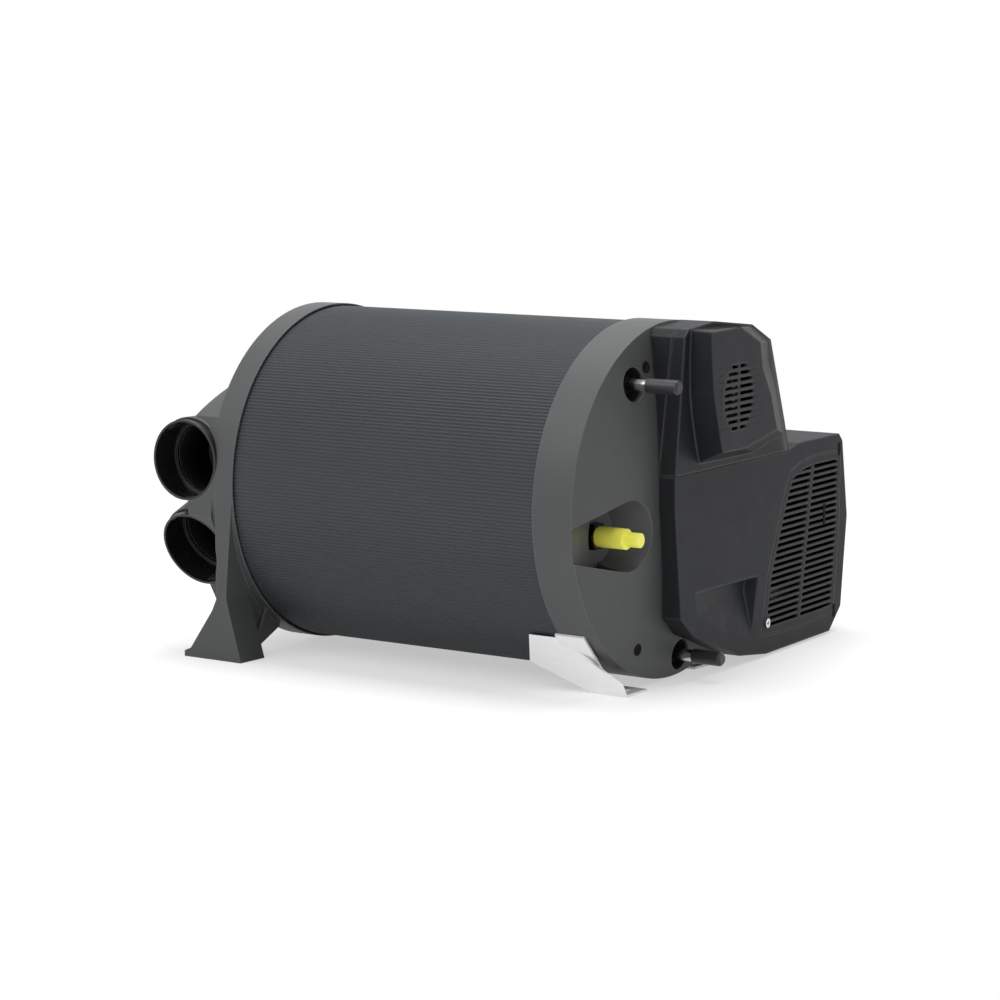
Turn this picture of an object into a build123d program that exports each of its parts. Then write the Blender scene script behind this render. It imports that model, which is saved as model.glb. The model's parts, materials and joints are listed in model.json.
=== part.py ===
"""Caravan water heater: a ribbed water and heating cylinder lying on its side, with a warm air
hood and four duct sockets at one end, and a domed end cap with pipes, two moulded covers and a
circulated air fan box at the other.

Frame: +X runs along the cylinder towards the covers, +Z is up, the near side with the gas pipe
faces -Y. The origin is on the floor, in the middle of the overall length and width.
"""

import os
from math import atan2, cos, degrees, hypot, pi, radians, sin, sqrt, tan

from build123d import *

os.makedirs("parts", exist_ok=True)

# Overall sizes
overall_length = 490.0
overall_width = 450.0

# Shared walls, gaps and overruns
moulding_wall = 3.0
seat_gap = 0.3
running_gap = 0.08
cut_overrun = 5.0

# Cylinder
jacket_radius = 146.0
jacket_wall = 2.5
rib_count = 300
rib_depth = 0.9
hood_reach = 65.5
ring_proud = 2.2
ring_lip_gap = 0.9
ring_lip_depth = 4.0
ground_clearance = 2.8

ring_radius = jacket_radius + ring_proud
axis_y = -overall_width / 2 + ring_radius
axis_z = ground_clearance + ring_radius
jacket_bore_radius = jacket_radius - rib_depth - jacket_wall

# Right end cap, which carries the pipes and the covers
right_ring_width = 37.5
dome_height = 11.0
cap_to_bump_front = 55.0
cap_front_x = overall_length / 2 - cap_to_bump_front
right_ring_back_x = cap_front_x - right_ring_width
dome_radius = (ring_radius**2 + dome_height**2) / (2 * dome_height)
dome_centre_x = cap_front_x + dome_height - dome_radius

# Warm air sockets and the hood
duct_radius = 32.5
duct_gap = 0.3
socket_wall = 1.9
socket_depth = 26.0
socket_stop = 2.3
socket_tail = 3.0
socket_seat_gap = 0.2
collar_wall = 1.6
lower_socket_tilt = 23.0
upper_socket_height = 171.0
lower_socket_height = 91.8
socket_bore_radius = duct_radius + duct_gap
socket_outer_radius = socket_bore_radius + socket_wall
collar_radius = socket_outer_radius + socket_seat_gap + collar_wall
socket_x = -overall_length / 2 + collar_radius
left_ring_width = 24.0
left_ring_back_x = -overall_length / 2 + hood_reach
left_ring_front_x = left_ring_back_x + left_ring_width


def axis_plane(x):
    """A plane square to the cylinder at x, with its origin on the cylinder's axis."""
    return Plane(origin=(x, axis_y, axis_z), x_dir=(0, 1, 0), z_dir=(1, 0, 0))


def face_place(shares):
    """A place on the cap's face, from shares of the ring's radius out from its middle."""
    return (axis_y + shares[0] * ring_radius, axis_z + shares[1] * ring_radius)


def dome_x(y, z):
    """The x of the right cap's domed face at a place in the y and z of the frame."""
    reach = hypot(y - axis_y, z - axis_z)
    return dome_centre_x + sqrt(dome_radius**2 - reach**2)


def finish(builder, name):
    """Label a finished piece and write it."""
    builder.part.label = name
    export_step(builder.part, f"parts/{name}.step")


# Cylinder jacket: fine ribs run along it, one peak and one valley for each rib

jacket_left_x = left_ring_front_x - ring_lip_depth
jacket_right_x = right_ring_back_x + ring_lip_depth
jacket_length = jacket_right_x - jacket_left_x

rib_points = []
for step in range(2 * rib_count):
    turn = pi * step / rib_count
    reach = jacket_radius - rib_depth * (step % 2)
    rib_points.append((reach * cos(turn), reach * sin(turn)))

with BuildPart() as cylinder_jacket:
    with BuildSketch(axis_plane(jacket_left_x)):
        with BuildLine():
            Polyline(*rib_points, close=True)
        make_face()
        Circle(jacket_bore_radius, mode=Mode.SUBTRACT)
    extrude(amount=jacket_length)
finish(cylinder_jacket, "cylinder_jacket")

# Insulation shell between the jacket and the water container

insulation_wall = 10.0
insulation_outer_radius = jacket_bore_radius - seat_gap
insulation_bore_radius = insulation_outer_radius - insulation_wall

with BuildPart() as insulation_shell:
    with BuildSketch(axis_plane(jacket_left_x)):
        Circle(insulation_outer_radius)
        Circle(insulation_bore_radius, mode=Mode.SUBTRACT)
    extrude(amount=jacket_length)
finish(insulation_shell, "insulation_shell")

# Water container: a ring-shaped can round the heat exchanger, closed by an end plate

container_wall = 1.5
container_end_gap = 8.0
container_edge_radius = 10.0
exchanger_fin_radius = 80.0
container_outer_radius = insulation_bore_radius - seat_gap
container_inner_radius = exchanger_fin_radius + seat_gap
container_left_x = jacket_left_x + container_end_gap
container_right_x = jacket_right_x - container_end_gap
container_length = container_right_x - container_left_x

with BuildPart() as container_space:
    with BuildSketch(axis_plane(container_left_x + container_wall)):
        Circle(container_outer_radius - container_wall)
        Circle(container_inner_radius + container_wall, mode=Mode.SUBTRACT)
    extrude(amount=container_length)
    fillet(container_space.edges().group_by(Axis.X)[0], container_edge_radius - container_wall)

with BuildPart() as water_container:
    with BuildSketch(axis_plane(container_left_x)):
        Circle(container_outer_radius)
        Circle(container_inner_radius, mode=Mode.SUBTRACT)
    extrude(amount=container_length)
    fillet(water_container.edges().group_by(Axis.X)[0], container_edge_radius)
    add(container_space.part, mode=Mode.SUBTRACT)
finish(water_container, "water_container")

with BuildPart() as container_end_plate:
    with BuildSketch(axis_plane(container_right_x)):
        Circle(container_outer_radius)
        Circle(container_inner_radius, mode=Mode.SUBTRACT)
    extrude(amount=container_wall)
finish(container_end_plate, "container_end_plate")

# Heat exchanger: a cast core with radial fins, closed at the hood end

exchanger_core_radius = 50.0
exchanger_wall = 5.0
exchanger_fin_count = 24
exchanger_fin_thickness = 2.5
exchanger_bore_radius = exchanger_core_radius - exchanger_wall
fin_reach = exchanger_fin_radius - exchanger_core_radius + exchanger_wall / 2

with BuildPart() as heat_exchanger:
    with BuildSketch(axis_plane(container_left_x)):
        Circle(exchanger_core_radius)
        with PolarLocations(exchanger_fin_radius - fin_reach / 2, exchanger_fin_count):
            Rectangle(fin_reach, exchanger_fin_thickness)
    extrude(amount=container_length)
    with BuildSketch(axis_plane(container_left_x + exchanger_wall)):
        Circle(exchanger_bore_radius)
    extrude(amount=container_length, mode=Mode.SUBTRACT)
finish(heat_exchanger, "heat_exchanger")

# Burner tube: it hangs in the exchanger's bore from a flange on the exchanger's end face

burner_radius = 38.0
burner_wall = 2.0
burner_length = 110.0
burner_flange_radius = 62.0
burner_flange_thickness = 4.0
burner_port_count = 12
burner_port_radius = 3.0
burner_port_rows = 3
burner_port_pitch = 22.0

with BuildPart() as burner_tube:
    with BuildSketch(axis_plane(container_right_x)):
        Circle(burner_flange_radius)
    extrude(amount=burner_flange_thickness)
    with BuildSketch(axis_plane(container_right_x)):
        Circle(burner_radius)
    extrude(amount=-burner_length)
    with BuildSketch(axis_plane(container_right_x - burner_length)):
        Circle(burner_radius - burner_wall)
    extrude(amount=burner_length + cut_overrun, mode=Mode.SUBTRACT)
    for row in range(burner_port_rows):
        port_x = container_right_x - burner_length + (row + 1) * burner_port_pitch
        for port in range(burner_port_count // 2):
            port_plane = Plane(
                origin=(port_x, axis_y, axis_z),
                x_dir=(1, 0, 0),
                z_dir=(0, cos(2 * pi * port / burner_port_count), sin(2 * pi * port / burner_port_count)),
            )
            with BuildSketch(port_plane):
                Circle(burner_port_radius)
            extrude(amount=burner_radius + cut_overrun, both=True, mode=Mode.SUBTRACT)
finish(burner_tube, "burner_tube")

# Left end cap: a ring over the jacket's end, two legs with splayed feet, and the warm air hood

leg_depth = 32.0
leg_wall = 4.0
duct_way_gap = 0.9
leg_neck_width = 15.8
leg_neck_low = 53.0
leg_ankle_height = 43.0
foot_heel_reach = 7.2
foot_toe_reach = 31.6
foot_instep_reach = 24.5
foot_instep_height = 8.0
foot_pad_thickness = 5.0
web_thickness = 4.0
web_inset = 10.0
web_rise = 20.0
web_reach = 74.0
web_rib_thickness = 3.0
web_rib_depth = 5.0
web_rib_run = 20.0
web_rib_top = 42.0
web_rib_length = hypot(web_rib_run, web_rib_top - foot_pad_thickness)
web_rib_turn = degrees(atan2(web_rib_top - foot_pad_thickness, web_rib_run))
web_rib_middle = (web_rib_top + foot_pad_thickness) / 2
foot_screw_radius = 2.75
foot_screw_inset = 12.0
foot_screw_from_toe = 14.0

hood_setback = 3.8
hood_shoulder = 209.0
hood_crown = 246.0
hood_base = 36.0
hood_corner_run = 14.0
side_bow_share = 0.52
boss_radius = 92.0
boss_tip_radius = 70.0
boss_height = 138.0
boss_reach = 33.0
plenum_opening_radius = 90.0
shoulder_lap = 10.0
collar_setback = 8.0
collar_length = 62.0

hood_end_x = socket_x + hood_setback
leg_back_x = socket_x + socket_bore_radius + duct_way_gap
mouth_run = 2 * socket_outer_radius * sin(radians(lower_socket_tilt))
mouth_drop = 2 * socket_outer_radius * cos(radians(lower_socket_tilt))
mouth_top_z = lower_socket_height + mouth_drop / 2
boss_plane = Plane(origin=(hood_end_x, axis_y, boss_height), x_dir=(0, 1, 0), z_dir=(1, 0, 0))
ring_inner_radius = ring_radius - moulding_wall
left_shoulder_x = jacket_left_x
shoulder_opening_radius = jacket_radius - shoulder_lap
socket_length = socket_depth + socket_tail
web_x = left_ring_front_x - web_inset - web_thickness
foot_toe_x = left_ring_back_x - foot_toe_reach
foot_screw_spread = ring_radius - foot_screw_inset
foot_screw_x = foot_toe_x + foot_screw_from_toe
foot_screw_places = [(foot_screw_x, axis_y - foot_screw_spread), (foot_screw_x, axis_y + foot_screw_spread)]
foot_screw_clear_height = leg_ankle_height


def hood_outline(shrink):
    """The hood's end outline about the cylinder's axis: a low arched crown, sides that stand
    upright down to the lower sockets and then follow their tilted mouths, and a flat base."""
    side = ring_radius - shrink
    low = mouth_top_z - axis_z
    foot = (side - mouth_run, low - mouth_drop)
    shoulder = hood_shoulder - axis_z - shrink / 2
    crown = hood_crown - axis_z - shrink
    base = hood_base - axis_z + shrink
    shoulder_side = sqrt(ring_radius**2 - (hood_shoulder - axis_z) ** 2) - shrink
    bow = (sqrt(side**2 - (side_bow_share * shoulder) ** 2), side_bow_share * shoulder)
    corner = foot[0] - hood_corner_run
    with BuildSketch() as outline:
        with BuildLine():
            Line((-side, low), (-side, 0))
            ThreePointArc((-side, 0), (-bow[0], bow[1]), (-shoulder_side, shoulder))
            ThreePointArc((-shoulder_side, shoulder), (0, crown), (shoulder_side, shoulder))
            ThreePointArc((shoulder_side, shoulder), bow, (side, 0))
            Line((side, 0), (side, low))
            Line((side, low), foot)
            Line(foot, (corner, base))
            Line((corner, base), (-corner, base))
            Line((-corner, base), (-foot[0], foot[1]))
            Line((-foot[0], foot[1]), (-side, low))
        make_face()
    return outline.sketch


def leg_outline():
    """The necked and splayed side view of a leg, in the x and z of the frame."""
    neck_front = left_ring_back_x + leg_neck_width
    with BuildSketch() as outline:
        with BuildLine():
            Polyline(
                (left_ring_front_x, axis_z),
                (neck_front, leg_neck_low + leg_wall * 2),
                (neck_front, leg_neck_low),
                (left_ring_front_x + foot_heel_reach, 0),
                (foot_toe_x, 0),
                (foot_toe_x, foot_pad_thickness),
                (left_ring_back_x - foot_instep_reach, foot_instep_height),
                (left_ring_back_x, leg_ankle_height),
                (leg_back_x, leg_neck_low),
                (leg_back_x, axis_z),
                close=True,
            )
        make_face()
    return outline.sketch


def socket_frames():
    """The planes of the four socket mouths: on the hood's sides, square to each socket."""
    tilt = radians(lower_socket_tilt)
    frames = {}
    for side_name, side in (("near", -1), ("far", 1)):
        mouth = axis_y + side * ring_radius
        frames[f"{side_name}_upper"] = Plane(
            origin=(socket_x, mouth, upper_socket_height), x_dir=(1, 0, 0), z_dir=(0, side, 0)
        )
        lower_mouth = mouth - side * socket_outer_radius * sin(tilt)
        frames[f"{side_name}_lower"] = Plane(
            origin=(socket_x, lower_mouth, lower_socket_height),
            x_dir=(1, 0, 0),
            z_dir=(0, side * cos(tilt), -sin(tilt)),
        )
    return frames


sockets = socket_frames()

with BuildPart() as collar_set:
    for frame in sockets.values():
        with BuildSketch(frame.offset(-collar_setback)):
            Circle(collar_radius)
        extrude(amount=-collar_length)

with BuildPart() as collar_bores:
    for frame in sockets.values():
        with BuildSketch(frame.offset(-socket_length)):
            Circle(socket_outer_radius + socket_seat_gap)
        extrude(amount=socket_length + mouth_run + cut_overrun)
        with BuildSketch(frame.offset(-collar_setback - collar_length + moulding_wall)):
            Circle(socket_bore_radius - socket_stop)
        extrude(amount=collar_setback + collar_length)

with BuildPart() as plenum:
    with BuildSketch(axis_plane(hood_end_x + moulding_wall)):
        add(hood_outline(moulding_wall))
    extrude(amount=left_ring_back_x - hood_end_x - moulding_wall)
    with BuildSketch(boss_plane.offset(moulding_wall)):
        Circle(boss_radius - moulding_wall)
    with BuildSketch(boss_plane.offset(moulding_wall - boss_reach)):
        Circle(boss_tip_radius - moulding_wall)
    loft()
    with BuildSketch(axis_plane(left_ring_back_x)):
        Circle(plenum_opening_radius)
    extrude(amount=left_ring_width)
    with BuildSketch(axis_plane(left_ring_back_x + moulding_wall)):
        Circle(ring_inner_radius)
    extrude(amount=left_shoulder_x - left_ring_back_x - 2 * moulding_wall)
    with BuildSketch(axis_plane(left_ring_back_x + moulding_wall)):
        Circle(shoulder_opening_radius)
    extrude(amount=left_ring_width)
    with BuildSketch(axis_plane(left_shoulder_x)):
        Circle(jacket_radius + ring_lip_gap)
    extrude(amount=left_ring_width)
    add(collar_set.part, mode=Mode.SUBTRACT)

with BuildPart() as left_end_cap:
    # Legs: a necked side plate that splays into a foot, open towards the cylinder's middle
    for mouth, inward in ((axis_y - ring_radius, -1), (axis_y + ring_radius, 1)):
        with BuildSketch(Plane.XZ.offset(-mouth)):
            add(leg_outline())
        extrude(amount=inward * leg_depth)
        with BuildSketch(Plane.XZ.offset(-mouth + inward * leg_wall)):
            add(leg_outline())
            offset(amount=-leg_wall, kind=Kind.INTERSECTION, mode=Mode.REPLACE)
        extrude(amount=inward * leg_depth, mode=Mode.SUBTRACT)
    # Webs between the legs and the ring, stiffened by a rib on the side of the jacket
    for side in (-1, 1):
        with BuildSketch(axis_plane(web_x)):
            with BuildLine():
                Polyline(
                    (side * (ring_radius - leg_wall), -axis_z),
                    (side * (ring_radius - leg_depth), -axis_z),
                    (side * web_reach, web_rise - axis_z),
                    (side * web_reach, -web_reach),
                    (side * (ring_radius - leg_wall), 0),
                    close=True,
                )
            make_face()
        extrude(amount=web_thickness)
        with BuildSketch(axis_plane(web_x + web_thickness)):
            with Locations((side * (ring_radius - leg_depth - web_rib_run / 2), web_rib_middle - axis_z)):
                Rectangle(web_rib_length, web_rib_thickness, rotation=-side * web_rib_turn)
        extrude(amount=web_rib_depth)
    # The ring over the jacket's end, the hood behind it, and the blunt boss that gathers the air
    with BuildSketch(axis_plane(left_ring_back_x)):
        Circle(ring_radius)
    extrude(amount=left_ring_width)
    with BuildSketch(axis_plane(hood_end_x)):
        add(hood_outline(0))
    extrude(amount=left_ring_back_x - hood_end_x)
    with BuildSketch(boss_plane):
        Circle(boss_radius)
    with BuildSketch(boss_plane.offset(-boss_reach)):
        Circle(boss_tip_radius)
    loft()
    # Collars that carry the sockets, then the plenum and the bores
    add(collar_set.part)
    add(plenum.part, mode=Mode.SUBTRACT)
    add(collar_bores.part, mode=Mode.SUBTRACT)
    # Screw holes through the toes of the feet
    with BuildSketch(Plane.XY):
        with Locations(*foot_screw_places):
            Circle(foot_screw_radius)
    extrude(amount=foot_screw_clear_height, mode=Mode.SUBTRACT)
finish(left_end_cap, "left_end_cap")

# Duct sockets: a stop shoulder halfway in, and two windows for the clip that locks the duct

for socket_name, frame in sockets.items():
    with BuildPart() as duct_socket:
        with BuildSketch(frame):
            Circle(socket_outer_radius)
        extrude(amount=-socket_length)
        with BuildSketch(frame):
            Circle(socket_bore_radius)
        extrude(amount=-socket_depth, mode=Mode.SUBTRACT)
        with BuildSketch(frame):
            Circle(socket_bore_radius - socket_stop)
        extrude(amount=-socket_length - cut_overrun, mode=Mode.SUBTRACT)
    finish(duct_socket, f"duct_socket_{socket_name}")

# Places on the right cap's face, each as (y, z)

hot_place = face_place((-0.433, 0.677))
cold_place = face_place((0.083, -0.883))
gas_place = face_place((-0.595, -0.142))
cold_root_rise = 15.9
air_inlet_place = face_place((0.586, -0.378))
cable_hole_places = [face_place((-0.308, 0.764)), face_place((-0.364, -0.791))]

gas_recess_place = face_place((-0.494, -0.142))
cold_root_height = cold_place[1] + cold_root_rise
gas_recess_radius = 30.0
gas_recess_floor_place = face_place((-0.561, -0.142))
gas_recess_floor_radius = 22.0
gas_recess_depth = 18.5
ramp_floor_height = 56.0
ramp_rim_height = 27.0
ramp_outrun = 1.0
hot_recess_radius = 14.0
cold_recess_radius = 13.0
pipe_recess_depth = 12.0
cable_hole_radius = 2.5
air_inlet_radius = 30.0
duct_outer_radius = 31.0
burner_hole_gap = 2.0
wing_thickness = 3.0

pipe_radius = 5.0
pipe_wall = 1.0
gas_pipe_radius = 4.0
pipe_bend_radius = 8.0
grommet_wall = 3.4
grommet_flange = 2.0
grommet_flange_thickness = 1.2
cap_wall = 1.0
cap_tip_chamfer = 2.0

burner_hole_radius = duct_outer_radius + burner_hole_gap
gas_recess_floor_x = cap_front_x - gas_recess_depth
wing_back_x = cap_front_x - wing_thickness
right_shoulder_x = jacket_right_x
grommet_inner_radius = pipe_radius + seat_gap
grommet_outer_radius = grommet_inner_radius + grommet_wall
pipe_hole_radius = grommet_outer_radius + seat_gap
dome_apex_x = cap_front_x + dome_height


def domed_disc(back_x, rim_radius, face_radius):
    """A disc on the cylinder's axis whose front is a shallow dome, revolved from half its section."""
    rim_x = dome_centre_x + sqrt(face_radius**2 - rim_radius**2)
    apex_x = dome_centre_x + face_radius
    half_reach = rim_radius / 2
    half_x = dome_centre_x + sqrt(face_radius**2 - half_reach**2)
    with BuildPart() as disc:
        with BuildSketch(Plane(origin=(0, axis_y, axis_z), x_dir=(1, 0, 0), z_dir=(0, -1, 0))):
            with BuildLine():
                Polyline((apex_x, 0), (back_x, 0), (back_x, rim_radius), (rim_x, rim_radius))
                ThreePointArc((rim_x, rim_radius), (half_x, half_reach), (apex_x, 0))
            make_face()
        revolve(axis=Axis((0, axis_y, axis_z), (1, 0, 0)))
    return disc.part


def yz_plane(x):
    """A plane square to the cylinder at x, whose own axes are the y and z of the frame."""
    return Plane(origin=(x, 0, 0), x_dir=(0, 1, 0), z_dir=(1, 0, 0))


def recess_floor_x(place):
    """The x of the floor of a pipe's recess in the domed face."""
    return dome_x(*place) - pipe_recess_depth


# Covers: their outlines as shares of the covers' width and height

cover_left_inset = 35.2
cover_side_gap = 3.6
cover_left_y = axis_y - cover_left_inset
cover_width = overall_width / 2 - cover_left_y
cover_base_z = 2.5
cover_height = 296.0
cover_depth = 26.5
cover_front_x = cap_front_x + cover_depth
cover_turn = 4.2
cover_lean = 3.8
seam_share = 0.583
seam_gap = 0.4
seam_foot_depth = 10.5
seam_head_depth = 23.0
seam_foot_x = cap_front_x + seam_foot_depth
seam_head_x = cap_front_x + seam_head_depth
seam_height = cover_base_z + seam_share * cover_height
box_length = 120.0
box_side_y = axis_y + ring_radius + cover_side_gap
box_back_x = cap_front_x - box_length
bump_front_turn = 5.9

lower_outline_shares = [
    (0, seam_share),
    (0, 0.498),
    (0.036, 0.181),
    (0.101, 0.123),
    (0.356, 0.022),
    (0.51, 0),
    (0.896, 0),
    (0.967, 0.066),
    (1, 0.343),
    (0.964, 0.576),
    (0.941, 0.6),
    (0.688, 0.6),
    (0.629, seam_share),
]
upper_outline_shares = [
    (0, 0.968),
    (0.018, 0.988),
    (0.154, 1),
    (0.362, 0.976),
    (0.475, 0.924),
    (0.635, seam_share),
]
bump_front_shares = [
    (0.022, 0.983),
    (0.027, 0.907),
    (0.039, 0.816),
    (0.058, 0.748),
    (0.083, 0.667),
    (0.092, 0.647),
    (0.22, 0.644),
    (0.409, 0.677),
    (0.365, 0.785),
    (0.315, 0.86),
    (0.3, 0.934),
    (0.184, 0.985),
]
bump_root_shares = [
    (0.022, 0.988),
    (0.027, 0.907),
    (0.039, 0.816),
    (0.058, 0.748),
    (0.095, 0.654),
    (0.119, 0.606),
    (0.421, 0.603),
    (0.599, 0.64),
    (0.534, 0.775),
    (0.481, 0.86),
    (0.463, 0.921),
    (0.362, 0.971),
]
pocket_mouth_shares = [(0.101, 0.245), (0.122, 0.177), (0.261, 0.113), (0.424, 0.073), (0.46, 0.238)]
pocket_floor_shares = [(0.398, 0.236), (0.404, 0.225), (0.421, 0.201), (0.436, 0.194), (0.445, 0.231)]
grille_shares = [
    (0.483, 0.059),
    (0.515, 0.227),
    (0.559, 0.336),
    (0.604, 0.444),
    (0.646, 0.518),
    (0.708, 0.539),
    (0.796, 0.55),
    (0.916, 0.547),
    (0.958, 0.539),
    (0.955, 0.328),
    (0.939, 0.184),
    (0.923, 0.057),
    (0.722, 0.048),
    (0.577, 0.052),
]
vent_place_shares = (0.178, 0.792)
grille_screw_shares = (0.506, 0.092)
divider_head_shares = (0.782, 0.526)
divider_foot_shares = (0.703, 0.07)
burner_fan_shares = (0.154, 0.789)
control_shares = (0.356, 0.735)


def cover_place(shares):
    """A place on the covers, in the y and z of the frame, from shares of their width and height."""
    return (cover_left_y + shares[0] * cover_width, cover_base_z + shares[1] * cover_height)


def cover_outline(shares, shrink):
    """A closed straight-sided outline on the covers, drawn in by shrink."""
    with BuildSketch() as outline:
        with BuildLine():
            Polyline(*[cover_place(place) for place in shares], close=True)
        make_face()
        if shrink:
            offset(amount=-shrink, kind=Kind.INTERSECTION, mode=Mode.REPLACE)
    return outline.sketch


def front_plane(x, back_turn, lean_height, lean):
    """A cover's front: turned back towards the far side, and leaning forward above a height."""
    turn = radians(back_turn)
    tip = radians(lean)
    across = Vector(-sin(turn), cos(turn), 0)
    up = Vector(sin(tip), 0, cos(tip))
    middle_x = x + cover_left_y * tan(turn) - lean_height * tan(tip)
    return Plane(origin=(middle_x, 0, 0), x_dir=across, z_dir=across.cross(up).normalized())


lower_front = front_plane(cover_front_x, cover_turn, 0, 0)
upper_front = front_plane(cover_front_x, cover_turn, seam_height, cover_lean)
bump_left_inset = bump_front_shares[0][0] * cover_width
bump_front_x = overall_length / 2 + bump_left_inset * tan(radians(bump_front_turn))
bump_front = front_plane(bump_front_x, bump_front_turn, 0, 0)
seam_turn = atan2(seam_head_x - seam_foot_x, cover_base_z + cover_height - seam_height)
seam_plane = Plane(
    origin=(seam_foot_x, cover_left_y, seam_height),
    x_dir=(0, 1, 0),
    z_dir=(cos(seam_turn), 0, -sin(seam_turn)),
)
upper_closed_shares = upper_outline_shares + [(0, seam_share)]

# Right end cap: a ring with a domed face, recessed round the pipes, and a wing behind the covers


def gas_ramp(grow):
    """The ramp from the gas recess out to the ring's rim, grown by grow."""
    with BuildPart() as ramp:
        for y, back_x, height in (
            (axis_y - ring_radius - ramp_outrun, cap_front_x - grow, ramp_rim_height + 2 * grow),
            (gas_recess_floor_place[0], gas_recess_floor_x - grow, ramp_floor_height + 2 * grow),
        ):
            with BuildSketch(Plane.XZ.offset(-y)):
                with Locations(((back_x + dome_apex_x) / 2, gas_place[1])):
                    Rectangle(dome_apex_x - back_x, height)
        loft()
    return ramp.part


with BuildPart() as cap_recesses:
    add(gas_ramp(0))
    with BuildSketch(yz_plane(gas_recess_floor_x)):
        with Locations(gas_recess_floor_place):
            Circle(gas_recess_floor_radius)
    with BuildSketch(yz_plane(dome_apex_x)):
        with Locations(gas_recess_place):
            Circle(gas_recess_radius)
    loft()
    for place, radius in ((hot_place, hot_recess_radius), (cold_place, cold_recess_radius)):
        with BuildSketch(yz_plane(recess_floor_x(place))):
            with Locations(place):
                Circle(radius)
        extrude(amount=dome_apex_x - recess_floor_x(place))

with BuildPart() as recess_backs:
    add(gas_ramp(moulding_wall))
    with BuildSketch(yz_plane(gas_recess_floor_x - moulding_wall)):
        with Locations(gas_recess_floor_place):
            Circle(gas_recess_floor_radius + moulding_wall)
    with BuildSketch(yz_plane(dome_apex_x)):
        with Locations(gas_recess_place):
            Circle(gas_recess_radius + moulding_wall)
    loft()
    for place, radius in ((hot_place, hot_recess_radius), (cold_place, cold_recess_radius)):
        with BuildSketch(yz_plane(recess_floor_x(place) - moulding_wall)):
            with Locations(place):
                Circle(radius + moulding_wall)
        extrude(amount=dome_apex_x - recess_floor_x(place) + moulding_wall)

with BuildPart() as right_cap_space:
    add(domed_disc(right_shoulder_x + moulding_wall, ring_inner_radius, dome_radius - moulding_wall))
    add(recess_backs.part, mode=Mode.SUBTRACT)
    with BuildSketch(axis_plane(right_shoulder_x)):
        Circle(shoulder_opening_radius)
    extrude(amount=moulding_wall)
    with BuildSketch(axis_plane(right_ring_back_x)):
        Circle(jacket_radius + ring_lip_gap)
    extrude(amount=right_shoulder_x - right_ring_back_x)

with BuildPart() as cover_wing:
    with BuildSketch(yz_plane(wing_back_x)):
        add(cover_outline(lower_outline_shares, 0))
        add(cover_outline(upper_closed_shares, 0))
        with Locations((box_side_y + cover_width / 2, axis_z)):
            Rectangle(cover_width, 2 * cover_height, mode=Mode.SUBTRACT)
    extrude(amount=wing_thickness)

with BuildPart() as right_end_cap:
    add(domed_disc(right_ring_back_x, ring_radius, dome_radius))
    add(cover_wing.part)
    add(right_cap_space.part, mode=Mode.SUBTRACT)
    add(cap_recesses.part, mode=Mode.SUBTRACT)
    with BuildSketch(axis_plane(right_shoulder_x + moulding_wall)):
        Circle(burner_hole_radius)
    extrude(amount=dome_apex_x - right_shoulder_x, mode=Mode.SUBTRACT)
    with BuildSketch(yz_plane(right_shoulder_x + moulding_wall)):
        with Locations(air_inlet_place):
            Circle(air_inlet_radius)
        with Locations(hot_place, cold_place):
            Circle(pipe_hole_radius)
        with Locations(gas_place):
            Circle(gas_pipe_radius + seat_gap)
        with Locations(*cable_hole_places):
            Circle(cable_hole_radius)
    extrude(amount=dome_apex_x - right_shoulder_x, mode=Mode.SUBTRACT)
finish(right_end_cap, "right_end_cap")

# Pipes that stand out of the cap's face, each in a grommet, with a transport cap on its end

hot_pipe_proud = 35.0
cold_pipe_proud = 32.0
hot_cap_proud = 17.5
hot_cap_length = 30.0
cold_cap_proud = 16.5
cold_cap_length = 27.5
pipe_root_x = container_right_x + container_wall
hot_pipe_end_x = cap_front_x + hot_pipe_proud
cold_pipe_end_x = cap_front_x + cold_pipe_proud
hot_cap_start_x = cap_front_x + hot_cap_proud
cold_cap_start_x = cap_front_x + cold_cap_proud
cold_bend_start = 6.0
cold_bend_end = 22.0

with BuildPart() as hot_water_pipe:
    with BuildSketch(yz_plane(pipe_root_x)):
        with Locations(hot_place):
            Circle(pipe_radius)
            Circle(pipe_radius - pipe_wall, mode=Mode.SUBTRACT)
    extrude(amount=hot_pipe_end_x - pipe_root_x)
finish(hot_water_pipe, "hot_water_pipe")

with BuildPart() as cold_water_pipe:
    with BuildLine():
        FilletPolyline(
            (pipe_root_x, cold_place[0], cold_root_height),
            (pipe_root_x + cold_bend_start, cold_place[0], cold_root_height),
            (pipe_root_x + cold_bend_end, cold_place[0], cold_place[1]),
            (cold_pipe_end_x, cold_place[0], cold_place[1]),
            radius=pipe_bend_radius,
        )
    with BuildSketch(yz_plane(pipe_root_x)):
        with Locations((cold_place[0], cold_root_height)):
            Circle(pipe_radius)
            Circle(pipe_radius - pipe_wall, mode=Mode.SUBTRACT)
    sweep()
finish(cold_water_pipe, "cold_water_pipe")


def pipe_grommet(place, name):
    """A flanged rubber bush in the floor of a pipe's recess."""
    floor_x = recess_floor_x(place)
    with BuildPart() as grommet:
        with BuildSketch(yz_plane(floor_x - moulding_wall)):
            with Locations(place):
                Circle(grommet_outer_radius)
        extrude(amount=moulding_wall)
        with BuildSketch(yz_plane(floor_x)):
            with Locations(place):
                Circle(grommet_outer_radius + grommet_flange)
        extrude(amount=grommet_flange_thickness)
        with BuildSketch(yz_plane(floor_x - moulding_wall)):
            with Locations(place):
                Circle(grommet_inner_radius)
        extrude(amount=moulding_wall + grommet_flange_thickness, mode=Mode.SUBTRACT)
    finish(grommet, name)


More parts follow.
